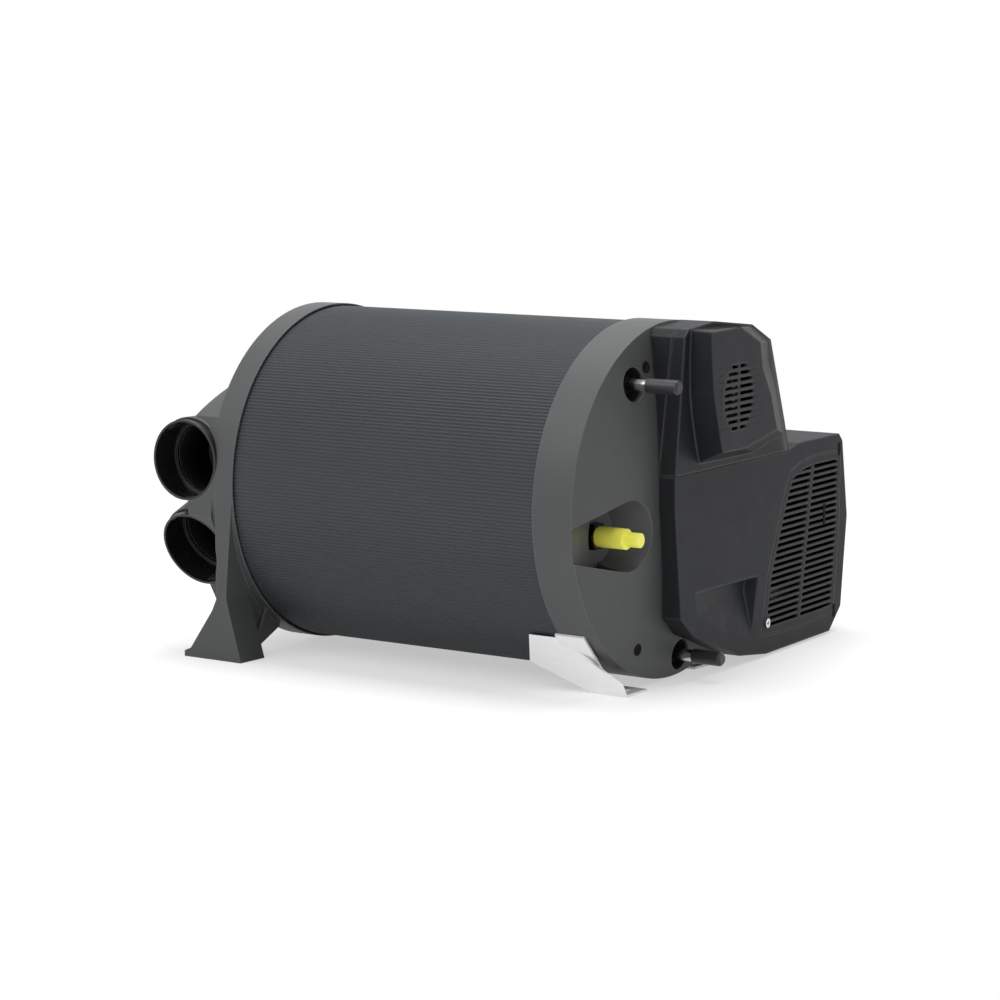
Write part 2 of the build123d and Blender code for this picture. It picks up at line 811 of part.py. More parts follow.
def pipe_cap(place, start_x, length, bore_end_x, name):
    """A soft cap over a pipe's end, closed and chamfered at its tip."""
    bore_radius = pipe_radius + running_gap
    with BuildPart() as cap:
        with BuildSketch(yz_plane(start_x)):
            with Locations(place):
                Circle(bore_radius + cap_wall)
        extrude(amount=length)
        chamfer(cap.edges().group_by(Axis.X)[-1], cap_tip_chamfer)
        with BuildSketch(yz_plane(start_x)):
            with Locations(place):
                Circle(bore_radius)
        extrude(amount=bore_end_x + seat_gap - start_x, mode=Mode.SUBTRACT)
    finish(cap, name)


pipe_grommet(hot_place, "hot_pipe_grommet")
pipe_grommet(cold_place, "cold_pipe_grommet")
pipe_cap(hot_place, hot_cap_start_x, hot_cap_length, hot_pipe_end_x, "hot_pipe_cap")
pipe_cap(cold_place, cold_cap_start_x, cold_cap_length, cold_pipe_end_x, "cold_pipe_cap")

# Gas line: the valve on the container's end plate, the pipe, its nut, and a stepped cap

gas_valve_depth = 18.2
gas_valve_width = 30.0
gas_valve_height = 36.0
gas_nut_radius = 12.0
gas_nut_length = 5.5
gas_cap_radius = 8.5
gas_cap_length = 26.5
gas_cap_tip_radius = 6.0
gas_cap_tip_length = 13.0
gas_pipe_end_inset = 6.0
gas_nut_end_x = gas_recess_floor_x + gas_nut_length
gas_cap_end_x = gas_nut_end_x + gas_cap_length + gas_cap_tip_length
gas_pipe_end_x = gas_cap_end_x - gas_pipe_end_inset

with BuildPart() as gas_valve:
    with BuildSketch(yz_plane(pipe_root_x)):
        with Locations(gas_place):
            Rectangle(gas_valve_width, gas_valve_height)
    extrude(amount=gas_valve_depth)
finish(gas_valve, "gas_valve")

with BuildPart() as gas_pipe:
    with BuildSketch(yz_plane(pipe_root_x + gas_valve_depth)):
        with Locations(gas_place):
            Circle(gas_pipe_radius)
            Circle(gas_pipe_radius - pipe_wall, mode=Mode.SUBTRACT)
    extrude(amount=gas_pipe_end_x - pipe_root_x - gas_valve_depth)
finish(gas_pipe, "gas_pipe")

with BuildPart() as gas_nut:
    with BuildSketch(yz_plane(gas_recess_floor_x)):
        with Locations(gas_place):
            RegularPolygon(gas_nut_radius, 6)
            Circle(gas_pipe_radius + seat_gap, mode=Mode.SUBTRACT)
    extrude(amount=gas_nut_length)
finish(gas_nut, "gas_nut")

with BuildPart() as gas_pipe_cap:
    with BuildSketch(yz_plane(gas_nut_end_x)):
        with Locations(gas_place):
            Circle(gas_cap_radius)
    extrude(amount=gas_cap_length)
    with BuildSketch(yz_plane(gas_nut_end_x + gas_cap_length)):
        with Locations(gas_place):
            Circle(gas_cap_tip_radius)
    extrude(amount=gas_cap_tip_length)
    with BuildSketch(yz_plane(gas_nut_end_x)):
        with Locations(gas_place):
            Circle(gas_pipe_radius + running_gap)
    extrude(amount=gas_pipe_end_x + seat_gap - gas_nut_end_x, mode=Mode.SUBTRACT)
finish(gas_pipe_cap, "gas_pipe_cap")

# Foot brackets: bent sheet, with a leaning side, a flange on the floor and a rest under the ring

sheet = 2.0
bracket_lean = 26.0
bracket_flange_depth = 32.0
bracket_front_reach = 10.8
bracket_front_x = cap_front_x + bracket_front_reach
bracket_rear_reach = -76.1
bracket_rear_x = cap_front_x + bracket_rear_reach
bracket_heel_reach = -22.8
bracket_heel_x = cap_front_x + bracket_heel_reach
bracket_top_rear_reach = -68.2
bracket_top_rear_x = cap_front_x + bracket_top_rear_reach
bracket_top_front_reach = -45.9
bracket_top_front_x = cap_front_x + bracket_top_front_reach
bracket_knee_reach = 9.5
bracket_knee_x = cap_front_x + bracket_knee_reach
bracket_top_rear_drop = 2.8
bracket_knee_height = 11.5
bracket_tail_height = 24.8
rest_rear_reach = -40.0
rest_rear_x = cap_front_x + rest_rear_reach
rest_front_reach = -12.0
rest_front_x = cap_front_x + rest_front_reach
rest_angle = 42.0
rest_length = 66.0
bracket_slot_x = cap_front_x
bracket_slot_length = 12.0
bracket_slot_radius = 2.75
far_bracket_shift = -17.0

lean_turn = radians(bracket_lean)
rest_turn = radians(rest_angle)
rest_reach = ring_radius + seat_gap
rest_top_y = axis_y - rest_reach * cos(rest_turn)
rest_top_z = axis_z - rest_reach * sin(rest_turn)
bracket_foot_y = rest_top_y + rest_top_z * tan(lean_turn) + sheet
bracket_top_height = rest_top_z / cos(lean_turn)
bracket_top_rear_height = bracket_top_height - bracket_top_rear_drop
lean_plane = Plane(
    origin=(0, bracket_foot_y, 0), x_dir=(1, 0, 0), z_dir=(0, -cos(lean_turn), -sin(lean_turn))
)
rest_plane = Plane(
    origin=(0, rest_top_y, rest_top_z),
    x_dir=(1, 0, 0),
    z_dir=(0, -cos(rest_turn), -sin(rest_turn)),
)
flange_middle_y = bracket_foot_y + bracket_flange_depth / 2


def foot_bracket(shift):
    """The near bracket, moved along the cylinder by shift."""
    with BuildPart() as bracket:
        with BuildSketch(lean_plane):
            with BuildLine():
                Polyline(
                    (bracket_top_rear_x + shift, bracket_top_rear_height),
                    (bracket_top_front_x + shift, bracket_top_height),
                    (bracket_knee_x + shift, bracket_knee_height),
                    (bracket_front_x + shift, 0),
                    (bracket_heel_x + shift, 0),
                    (bracket_rear_x + shift, bracket_tail_height),
                    close=True,
                )
            make_face()
        extrude(amount=-sheet)
        with BuildSketch(Plane.XY):
            with Locations(((bracket_heel_x + bracket_front_x) / 2 + shift, flange_middle_y)):
                Rectangle(bracket_front_x - bracket_heel_x, bracket_flange_depth)
            with Locations((bracket_slot_x + shift, flange_middle_y)):
                SlotOverall(bracket_slot_length, 2 * bracket_slot_radius, rotation=90, mode=Mode.SUBTRACT)
        extrude(amount=sheet)
        with BuildSketch(rest_plane):
            with Locations(((rest_rear_x + rest_front_x) / 2 + shift, -rest_length / 2)):
                Rectangle(rest_front_x - rest_rear_x, rest_length)
        extrude(amount=sheet)
        with BuildSketch(axis_plane(0)):
            Circle(rest_reach)
        extrude(amount=overall_length, mode=Mode.SUBTRACT)
        split(bisect_by=Plane.XY, keep=Keep.TOP)
    return bracket


near_bracket = foot_bracket(0)
finish(near_bracket, "near_bracket")

with BuildPart() as far_bracket:
    add(foot_bracket(far_bracket_shift).part.mirror(Plane.XZ.offset(-axis_y)))
finish(far_bracket, "far_bracket")

# Lower cover and fan box, one moulding with the intake's opening and a pocket in its front

seam_way_width = 190.0
seam_way_height = 12.0
ledge_width = 4.0
ledge_depth = 2.0
grille_thickness = 2.8
pocket_depth = 10.5
screw_boss_radius = 5.0
screw_radius = 2.0
screw_head_radius = 4.0
cap_clearance_disc = domed_disc(right_ring_back_x, ring_radius, dome_radius + seat_gap)


def pocket_block(grow):
    """The pocket's sunk form, from the cover's front to its small floor, grown by grow."""
    with BuildPart() as block:
        with BuildSketch(lower_front.offset(-pocket_depth - grow)):
            add(cover_outline(pocket_floor_shares, -grow))
        with BuildSketch(lower_front):
            add(cover_outline(pocket_mouth_shares, -grow))
        loft(ruled=True)
    return block.part


def seam_opening(front):
    """The way between the two covers behind their fronts, for the burner fan."""
    with BuildPart() as opening:
        with BuildSketch(yz_plane(cap_front_x)):
            with Locations((cover_left_y + moulding_wall + seam_way_width / 2, seam_height)):
                Rectangle(seam_way_width, seam_way_height)
        extrude(amount=overall_length)
        split(bisect_by=front.offset(-moulding_wall), keep=Keep.BOTTOM)
    return opening.part


def behind(shares, shrink, back_x, front):
    """A cover's outline run forward from back_x to its front."""
    with BuildPart() as block:
        with BuildSketch(yz_plane(back_x)):
            add(cover_outline(shares, shrink))
        extrude(amount=overall_length)
        split(bisect_by=front, keep=Keep.BOTTOM)
    return block.part


def fan_box(wall):
    """The box of the circulated air fan, behind the lower cover's far part."""
    with BuildPart() as box:
        with BuildSketch(yz_plane(box_back_x)):
            add(cover_outline(lower_outline_shares, wall))
            with Locations((box_side_y + wall - cover_width / 2, axis_z)):
                Rectangle(cover_width, 2 * cover_height, mode=Mode.SUBTRACT)
        extrude(amount=cap_front_x - box_back_x)
    return box.part


with BuildPart() as lower_space:
    add(behind(lower_outline_shares, moulding_wall, cap_front_x, lower_front.offset(-moulding_wall)))
    add(fan_box(moulding_wall))
    add(pocket_block(moulding_wall), mode=Mode.SUBTRACT)

with BuildPart() as upper_wedge:
    add(behind(upper_closed_shares, 0, cap_front_x, seam_plane))
    add(behind(upper_closed_shares, moulding_wall, cap_front_x, seam_plane), mode=Mode.SUBTRACT)

screw_y, screw_z = cover_place(grille_screw_shares)
screw_seat_x = cover_front_x - (screw_y - cover_left_y) * tan(radians(cover_turn))

with BuildPart() as fan_housing_cover:
    add(behind(lower_outline_shares, 0, cap_front_x, lower_front))
    add(fan_box(0))
    add(lower_space.part, mode=Mode.SUBTRACT)
    add(pocket_block(0), mode=Mode.SUBTRACT)
    add(upper_wedge.part)
    add(seam_opening(lower_front), mode=Mode.SUBTRACT)
    # The intake's opening, with a ledge behind it for the grille
    with BuildSketch(lower_front):
        add(cover_outline(grille_shares, -seat_gap))
    extrude(amount=-moulding_wall - cut_overrun, mode=Mode.SUBTRACT)
    with BuildSketch(lower_front.offset(-grille_thickness)):
        add(cover_outline(grille_shares, -ledge_width))
        add(cover_outline(lower_outline_shares, moulding_wall / 2), mode=Mode.INTERSECT)
        add(cover_outline(grille_shares, ledge_width), mode=Mode.SUBTRACT)
    extrude(amount=-ledge_depth)
    # The boss that takes the grille's screw, standing on the wing
    with BuildSketch(yz_plane(cap_front_x)):
        with Locations((screw_y, screw_z)):
            Circle(screw_boss_radius)
    extrude(amount=screw_seat_x - grille_thickness - ledge_depth / 2 - cap_front_x)
    with BuildSketch(yz_plane(cap_front_x)):
        with Locations((screw_y, screw_z)):
            Circle(screw_radius + running_gap)
    extrude(amount=overall_length, mode=Mode.SUBTRACT)
    add(cap_clearance_disc, mode=Mode.SUBTRACT)
finish(fan_housing_cover, "fan_housing_cover")

# Intake grille: slot rows between slim bars, parted by a slanted divider

grille_row_count = 24
grille_row_pitch = 5.6
grille_slot_height = 3.3
grille_border = 7.0
grille_divider_width = 5.0
screw_head_thickness = 2.0
screw_grip = 9.0
grille_foot_z = cover_place(grille_shares[12])[1] + grille_border + grille_slot_height
divider_head = cover_place(divider_head_shares)
divider_foot = cover_place(divider_foot_shares)
divider_run = divider_head[0] - divider_foot[0]
divider_rise = divider_head[1] - divider_foot[1]

with BuildPart() as intake_grille:
    with BuildSketch(lower_front):
        add(cover_outline(grille_shares, 0))
    extrude(amount=-grille_thickness)
    with BuildSketch(lower_front):
        for row in range(grille_row_count):
            with Locations((divider_foot[0], grille_foot_z + row * grille_row_pitch)):
                Rectangle(cover_width, grille_slot_height)
        add(cover_outline(grille_shares, grille_border), mode=Mode.INTERSECT)
        with Locations(((divider_head[0] + divider_foot[0]) / 2, (divider_head[1] + divider_foot[1]) / 2)):
            Rectangle(
                hypot(divider_run, divider_rise),
                grille_divider_width,
                rotation=degrees(atan2(divider_rise, divider_run)),
                mode=Mode.SUBTRACT,
            )
        with Locations((screw_y, screw_z)):
            Circle(screw_boss_radius + grille_border / 2, mode=Mode.SUBTRACT)
    extrude(amount=-grille_thickness, mode=Mode.SUBTRACT)
    with BuildSketch(yz_plane(cap_front_x)):
        with Locations((screw_y, screw_z)):
            Circle(screw_radius + running_gap)
    extrude(amount=overall_length, mode=Mode.SUBTRACT)
finish(intake_grille, "intake_grille")

screw_head_seat = lower_front.offset(seat_gap)

with BuildPart() as grille_screw:
    with BuildSketch(screw_head_seat):
        with Locations((screw_y / cos(radians(cover_turn)), screw_z)):
            Circle(screw_head_radius)
    extrude(amount=screw_head_thickness)
    with BuildSketch(yz_plane(screw_seat_x - screw_grip)):
        with Locations((screw_y, screw_z)):
            Circle(screw_radius)
    extrude(amount=screw_grip + seat_gap + screw_head_thickness / 2)
finish(grille_screw, "grille_screw")

# Upper cover: it hides the electronics, and bulges forward over the burner's fan

vent_radius = 29.0
vent_row_count = 10
vent_row_pitch = 5.6
vent_slot_height = 3.0
vent_divider_width = 3.0
vent_place = cover_place(vent_place_shares)


def bump(shrink, root_drop):
    """The bulge of the upper cover, drawn in by shrink, from a root behind the cover's front."""
    with BuildPart() as block:
        with BuildSketch(upper_front.offset(-root_drop)):
            add(cover_outline(bump_root_shares, shrink))
        with BuildSketch(bump_front.offset(-shrink)):
            add(cover_outline(bump_front_shares, shrink))
        loft(ruled=True)
    return block.part


with BuildPart() as upper_space:
    add(behind(upper_closed_shares, moulding_wall, cap_front_x, upper_front.offset(-moulding_wall)))
    add(bump(moulding_wall, moulding_wall + seam_gap))

with BuildPart() as electronics_cover:
    add(behind(upper_closed_shares, 0, cap_front_x, upper_front))
    add(bump(0, moulding_wall / 2))
    add(upper_space.part, mode=Mode.SUBTRACT)
    add(seam_opening(upper_front), mode=Mode.SUBTRACT)
    split(bisect_by=Plane.XY.offset(seam_height + seam_gap), keep=Keep.TOP)
    split(bisect_by=seam_plane.offset(seam_gap), keep=Keep.TOP)
    with BuildSketch(bump_front):
        for row in range(vent_row_count):
            rise = (row - (vent_row_count - 1) / 2) * vent_row_pitch
            with Locations((vent_place[0], vent_place[1] + rise)):
                Rectangle(2 * sqrt(vent_radius**2 - rise**2), vent_slot_height)
        with Locations(vent_place):
            Rectangle(vent_divider_width, 2 * vent_radius, mode=Mode.SUBTRACT)
    extrude(amount=-moulding_wall - cut_overrun, mode=Mode.SUBTRACT)
finish(electronics_cover, "electronics_cover")

# Circulated air fan: its motor stands on the fan box's back, with the wheel on its shaft

fan_box_width = overall_width / 2 - box_side_y
fan_across_share = 0.488
fan_height_share = 0.302
fan_motor_share = 0.2
fan_place = (
    box_side_y + fan_across_share * fan_box_width,
    cover_base_z + fan_height_share * cover_height,
)
fan_motor_radius = fan_motor_share * fan_box_width
fan_motor_length = 52.0
fan_shaft_radius = 4.0
fan_shaft_hold = 20.0
fan_wheel_gap = 5.0
fan_wheel_share = 0.387
fan_wheel_radius = fan_wheel_share * fan_box_width
fan_wheel_length = 35.0
fan_blade_depth = 12.0
fan_blade_thickness = 1.6
fan_blade_count = 24
fan_blade_pitch = 25.0
fan_disc_thickness = 2.0
fan_hub_radius = 12.0
fan_back_x = box_back_x + moulding_wall
fan_wheel_x = fan_back_x + fan_motor_length + fan_wheel_gap

with BuildPart() as fan_box_back:
    with BuildSketch(yz_plane(box_back_x)):
        add(cover_outline(lower_outline_shares, moulding_wall + seat_gap))
        with Locations((box_side_y + moulding_wall + seat_gap - cover_width / 2, axis_z)):
            Rectangle(cover_width, 2 * cover_height, mode=Mode.SUBTRACT)
    extrude(amount=moulding_wall)
finish(fan_box_back, "fan_box_back")


def fan_wheel(place, x, radius, length, blade_depth, blade_count, shaft_radius, hub_radius):
    """A drum of blades between a backing disc with a hub and an open front ring."""
    blade_reach = radius - blade_depth / 2
    with BuildPart() as wheel:
        with BuildSketch(yz_plane(x)):
            with Locations(place):
                Circle(radius)
        extrude(amount=fan_disc_thickness)
        with BuildSketch(yz_plane(x)):
            with Locations(place):
                with PolarLocations(blade_reach, blade_count):
                    Rectangle(blade_depth, fan_blade_thickness, rotation=fan_blade_pitch)
        extrude(amount=length)
        with BuildSketch(yz_plane(x + length - fan_disc_thickness)):
            with Locations(place):
                Circle(radius)
                Circle(radius - blade_depth, mode=Mode.SUBTRACT)
        extrude(amount=fan_disc_thickness)
        with BuildSketch(yz_plane(x)):
            with Locations(place):
                Circle(hub_radius)
        extrude(amount=length / 2)
        with BuildSketch(yz_plane(x)):
            with Locations(place):
                Circle(shaft_radius)
        extrude(amount=length, mode=Mode.SUBTRACT)
    return wheel


def fan_motor(place, x, radius, length, shaft_radius, shaft_hold, mouth_forward):
    """A round motor with the bore that its shaft turns in, open towards the wheel."""
    bore_x = x + length - shaft_hold if mouth_forward else x
    with BuildPart() as motor:
        with BuildSketch(yz_plane(x)):
            with Locations(place):
                Circle(radius)
        extrude(amount=length)
        with BuildSketch(yz_plane(bore_x)):
            with Locations(place):
                Circle(shaft_radius + running_gap)
        extrude(amount=shaft_hold, mode=Mode.SUBTRACT)
    return motor


def fan_shaft(place, start_x, end_x, radius):
    """A plain round shaft."""
    with BuildPart() as shaft:
        with BuildSketch(yz_plane(start_x)):
            with Locations(place):
                Circle(radius)
        extrude(amount=end_x - start_x)
    return shaft


circulation_fan_motor = fan_motor(
    fan_place, fan_back_x, fan_motor_radius, fan_motor_length, fan_shaft_radius, fan_shaft_hold, True
)
finish(circulation_fan_motor, "circulation_fan_motor")
circulation_fan_wheel = fan_wheel(
    fan_place,
    fan_wheel_x,
    fan_wheel_radius,
    fan_wheel_length,
    fan_blade_depth,
    fan_blade_count,
    fan_shaft_radius,
    fan_hub_radius,
)
finish(circulation_fan_wheel, "circulation_fan_wheel")
circulation_fan_shaft = fan_shaft(
    fan_place,
    fan_back_x + fan_motor_length - fan_shaft_hold + seat_gap,
    fan_wheel_x + fan_wheel_length / 2,
    fan_shaft_radius,
)
finish(circulation_fan_shaft, "circulation_fan_shaft")

# Combustion fan: a duct from the burner's flange, a flat scroll, and a wheel behind the round vent

burner_fan_place = cover_place(burner_fan_shares)
scroll_wall = 2.0
scroll_radius = 29.0
scroll_depth = 25.0
duct_flat_depth = 6.5
scroll_inlet_radius = 22.0
burner_wheel_radius = 25.0
burner_wheel_length = 15.0
burner_wheel_gap = 2.0
burner_wheel_blade_depth = 6.0
burner_wheel_blade_count = 18
burner_shaft_radius = 2.5
burner_hub_radius = 6.0
burner_motor_radius = 15.0
burner_motor_length = 15.0
spider_width = 5.0
scroll_back_x = dome_apex_x + 2 * seat_gap
burner_wheel_x = scroll_back_x + scroll_wall + burner_wheel_gap
scroll_front_x = scroll_back_x + scroll_depth
duct_root_x = container_right_x + burner_flange_thickness

with BuildPart() as combustion_fan_housing:
    with BuildSketch(yz_plane(scroll_back_x)):
        with Locations((axis_y, axis_z)):
            Circle(duct_outer_radius)
        with Locations(burner_fan_place):
            Circle(scroll_radius)
        make_hull()
    extrude(amount=duct_flat_depth)
    with BuildSketch(yz_plane(scroll_back_x)):
        with Locations(burner_fan_place):
            Circle(scroll_radius)
    extrude(amount=scroll_depth)
    with BuildSketch(axis_plane(duct_root_x)):
        Circle(duct_outer_radius)
    extrude(amount=scroll_back_x - duct_root_x)
    with BuildSketch(yz_plane(scroll_back_x + scroll_wall)):
        with Locations((axis_y, axis_z)):
            Circle(duct_outer_radius - scroll_wall)
        with Locations(burner_fan_place):
            Circle(scroll_radius - scroll_wall)
        make_hull()
    extrude(amount=duct_flat_depth - 2 * scroll_wall, mode=Mode.SUBTRACT)
    with BuildSketch(yz_plane(scroll_back_x + scroll_wall)):
        with Locations(burner_fan_place):
            Circle(scroll_radius - scroll_wall)
    extrude(amount=scroll_depth - 2 * scroll_wall, mode=Mode.SUBTRACT)
    with BuildSketch(axis_plane(duct_root_x)):
        Circle(duct_outer_radius - scroll_wall)
    extrude(amount=scroll_back_x + scroll_wall - duct_root_x, mode=Mode.SUBTRACT)
    with BuildSketch(yz_plane(scroll_front_x - scroll_wall)):
        with Locations(burner_fan_place):
            Circle(scroll_inlet_radius)
            Circle(burner_motor_radius, mode=Mode.SUBTRACT)
            Rectangle(2 * scroll_radius, spider_width, mode=Mode.SUBTRACT)
            Rectangle(spider_width, 2 * scroll_radius, mode=Mode.SUBTRACT)
            Circle(burner_shaft_radius + seat_gap)
    extrude(amount=scroll_wall, mode=Mode.SUBTRACT)
finish(combustion_fan_housing, "combustion_fan_housing")

combustion_fan_motor = fan_motor(
    burner_fan_place,
    scroll_front_x,
    burner_motor_radius,
    burner_motor_length / 2,
    burner_shaft_radius,
    burner_motor_length / 3,
    False,
)
finish(combustion_fan_motor, "combustion_fan_motor")
combustion_fan_wheel = fan_wheel(
    burner_fan_place,
    burner_wheel_x,
    burner_wheel_radius,
    burner_wheel_length,
    burner_wheel_blade_depth,
    burner_wheel_blade_count,
    burner_shaft_radius,
    burner_hub_radius,
)
finish(combustion_fan_wheel, "combustion_fan_wheel")
combustion_fan_shaft = fan_shaft(
    burner_fan_place,
    burner_wheel_x,
    scroll_front_x + burner_motor_length / 3 - seat_gap,
    burner_shaft_radius,
)
finish(combustion_fan_shaft, "combustion_fan_shaft")

# Control unit behind the upper cover, and the water temperature sensor on the end plate

control_place = cover_place(control_shares)
control_width = 54.0
control_height = 58.0
control_depth = 8.0
control_back_gap = 9.0
control_back_x = cap_front_x + control_back_gap
sensor_radius = 4.0
sensor_length = 12.0
sensor_reach = 110.0

with BuildPart() as control_unit:
    with BuildSketch(yz_plane(control_back_x)):
        with Locations(control_place):
            Rectangle(control_width, control_height)
    extrude(amount=control_depth)
finish(control_unit, "control_unit")

with BuildPart() as temperature_sensor:
    with BuildSketch(axis_plane(pipe_root_x)):
        with Locations((0, sensor_reach)):
            Circle(sensor_radius)
    extrude(amount=sensor_length)
finish(temperature_sensor, "temperature_sensor")

# Flue spigot on the fan box's back: combustion air round an exhaust tube

flue_radius = 32.5
flue_side_gap = 4.6
flue_height_share = 0.475
flue_place = (box_side_y + flue_side_gap + flue_radius, cover_base_z + flue_height_share * cover_height)
flue_wall = 1.5
flue_length = 30.0
exhaust_radius = 25.0
exhaust_proud = 6.0

with BuildPart() as flue_spigot:
    with BuildSketch(yz_plane(box_back_x)):
        with Locations(flue_place):
            Circle(flue_radius)
    extrude(amount=-moulding_wall)
    with BuildSketch(yz_plane(box_back_x - moulding_wall)):
        with Locations(flue_place):
            Circle(flue_radius)
            Circle(flue_radius - flue_wall, mode=Mode.SUBTRACT)
    extrude(amount=-flue_length)
    with BuildSketch(yz_plane(box_back_x - moulding_wall)):
        with Locations(flue_place):
            Circle(exhaust_radius)
            Circle(exhaust_radius - flue_wall, mode=Mode.SUBTRACT)
    extrude(amount=-flue_length - exhaust_proud)
finish(flue_spigot, "flue_spigot")
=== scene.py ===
"""The looks of the caravan water heater: finishes, softened edges, small trim, camera and studio."""

import json
from math import cos, hypot, pi, radians, sin, sqrt, tan

import bpy
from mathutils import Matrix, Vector


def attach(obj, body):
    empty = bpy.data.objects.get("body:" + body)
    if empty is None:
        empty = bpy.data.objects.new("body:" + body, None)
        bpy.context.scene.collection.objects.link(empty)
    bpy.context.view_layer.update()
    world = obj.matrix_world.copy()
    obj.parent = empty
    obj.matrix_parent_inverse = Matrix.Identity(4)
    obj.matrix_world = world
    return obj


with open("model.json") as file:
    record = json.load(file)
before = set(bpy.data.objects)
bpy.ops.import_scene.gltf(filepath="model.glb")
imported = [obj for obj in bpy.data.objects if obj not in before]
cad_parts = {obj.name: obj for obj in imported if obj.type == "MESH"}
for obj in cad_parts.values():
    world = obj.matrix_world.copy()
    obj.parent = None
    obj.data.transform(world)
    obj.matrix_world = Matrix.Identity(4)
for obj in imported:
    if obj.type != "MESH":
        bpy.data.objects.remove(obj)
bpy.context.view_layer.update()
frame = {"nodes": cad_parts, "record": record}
nodes = frame["nodes"]

# Camera, fitted to the photograph: its place, turn and lens

camera_place = (1.474, -2.164, 0.482)
camera_yaw = 34.89
camera_pitch = 7.71
image_width_px = 1000
focal_px = 2996.3
sensor_width = 36.0

# Edges: how wide each kind of piece is rounded, and what counts as an edge

cover_edge = 0.0022
cap_edge = 0.0010
small_edge = 0.0004
edge_segments = 3
sharp_angle = radians(28)

# Places on the object, in metres: the domed face, and the fronts of the covers

axis_place = (-0.0768, 0.151)
dome_centre_x = -0.80281
dome_radius = 1.00381
cover_left_y = -0.112
lower_front_x = 0.2165
lower_front_turn = radians(4.2)
bump_front_x = 0.24577
bump_front_turn = radians(5.9)

# Surfaces: how tone and gloss wander over plastic and metal, and how far a normal turns on a full edge,
# where the painted edge highlight is strongest

patch_scale = 9.0
patch_dark = 0.88
patch_light = 1.12
gloss_scale = 60.0
gloss_below = 0.05
gloss_above = 0.07
grain_detail = 2.0
full_edge_turn = 0.85
streak_scale = 300.0
streak_dark = 0.9
streak_below = 0.06
streak_above = 0.08
streak_depth = 0.00002


def node_material(name):
    """A new node material and its parts: the material, the tree and the main shader."""
    material = bpy.data.materials.new(name)
    material.use_nodes = True
    tree = material.node_tree
    shader = tree.nodes["Principled BSDF"]
    return material, tree, shader


def object_place(tree):
    """Object coordinates, which stay with the surface in metres."""
    return tree.nodes.new("ShaderNodeTexCoord").outputs["Object"]


def noise(tree, place, scale, detail=4.0):
    """Noise over the surface, scale in waves to the metre."""
    texture = tree.nodes.new("ShaderNodeTexNoise")
    texture.inputs["Scale"].default_value = scale
    texture.inputs["Detail"].default_value = detail
    tree.links.new(place, texture.inputs["Vector"])
    return texture.outputs["Fac"]


def span(tree, value, low, high, start=0.0, end=1.0):
    """A value from start to end spread over low to high."""
    spread = tree.nodes.new("ShaderNodeMapRange")
    spread.inputs["From Min"].default_value = start
    spread.inputs["From Max"].default_value = end
    spread.inputs["To Min"].default_value = low
    spread.inputs["To Max"].default_value = high
    tree.links.new(value, spread.inputs["Value"])
    return spread.outputs["Result"]


def tone(tree, value, dark, light):
    """A colour between two, by a value from 0 to 1."""
    ramp = tree.nodes.new("ShaderNodeValToRGB")
    ramp.color_ramp.elements[0].color = (*dark, 1.0)
    ramp.color_ramp.elements[1].color = (*light, 1.0)
    tree.links.new(value, ramp.inputs["Fac"])
    return ramp.outputs["Color"]


def round_normal(tree, radius):
    """The surface's normal, rounded over its edges within radius."""
    bevel = tree.nodes.new("ShaderNodeBevel")
    bevel.inputs["Radius"].default_value = radius
    return bevel.outputs["Normal"]


def painted_edge_highlight(tree, rounded):
    """How far the rounded normal leaves the flat one: 0 on a flat, 1 on an edge; the mask of the painted
    edge highlight.
    """
    geometry = tree.nodes.new("ShaderNodeNewGeometry")
    turn = tree.nodes.new("ShaderNodeVectorMath")
    turn.operation = "DOT_PRODUCT"
    tree.links.new(rounded, turn.inputs[0])
    tree.links.new(geometry.outputs["Normal"], turn.inputs[1])
    return span(tree, turn.outputs["Value"], 0.0, 1.0, 1.0, full_edge_turn)


def bump(tree, shader, height, depth, rounded=None):
    """Raise the surface by a height from 0 to 1, depth metres high, over a rounded normal."""
    relief = tree.nodes.new("ShaderNodeBump")
    relief.inputs["Distance"].default_value = depth
    tree.links.new(height, relief.inputs["Height"])
    if rounded is not None:
        tree.links.new(rounded, relief.inputs["Normal"])
    tree.links.new(relief.outputs["Normal"], shader.inputs["Normal"])


def moulding(name, colour, edge_highlight_colour, roughness, sheen_level=0.5, grain=900.0, depth=0.00006, edge=0.0014):
    """Grained moulded plastic with a painted highlight along its rounded edges, a little uneven in tone and
    gloss.
    """
    material, tree, shader = node_material(name)
    place = object_place(tree)
    rounded = round_normal(tree, edge)
    mix = tree.nodes.new("ShaderNodeMix")
    mix.data_type = "RGBA"
    tree.links.new(painted_edge_highlight(tree, rounded), mix.inputs["Factor"])
    dark = tuple(c * patch_dark for c in colour)
    light = tuple(c * patch_light for c in colour)
    tree.links.new(tone(tree, noise(tree, place, patch_scale), dark, light), mix.inputs[6])
    # The paler edge colour, mixed in by the edge mask, is a painted highlight along the rounded edges.
    mix.inputs[7].default_value = (*edge_highlight_colour, 1.0)
    tree.links.new(mix.outputs[2], shader.inputs["Base Color"])
    gloss = noise(tree, place, gloss_scale)
    uneven = span(tree, gloss, roughness - gloss_below, roughness + gloss_above)
    tree.links.new(uneven, shader.inputs["Roughness"])
    shader.inputs["Specular IOR Level"].default_value = sheen_level
    bump(tree, shader, noise(tree, place, grain, grain_detail), depth, rounded)
    return material


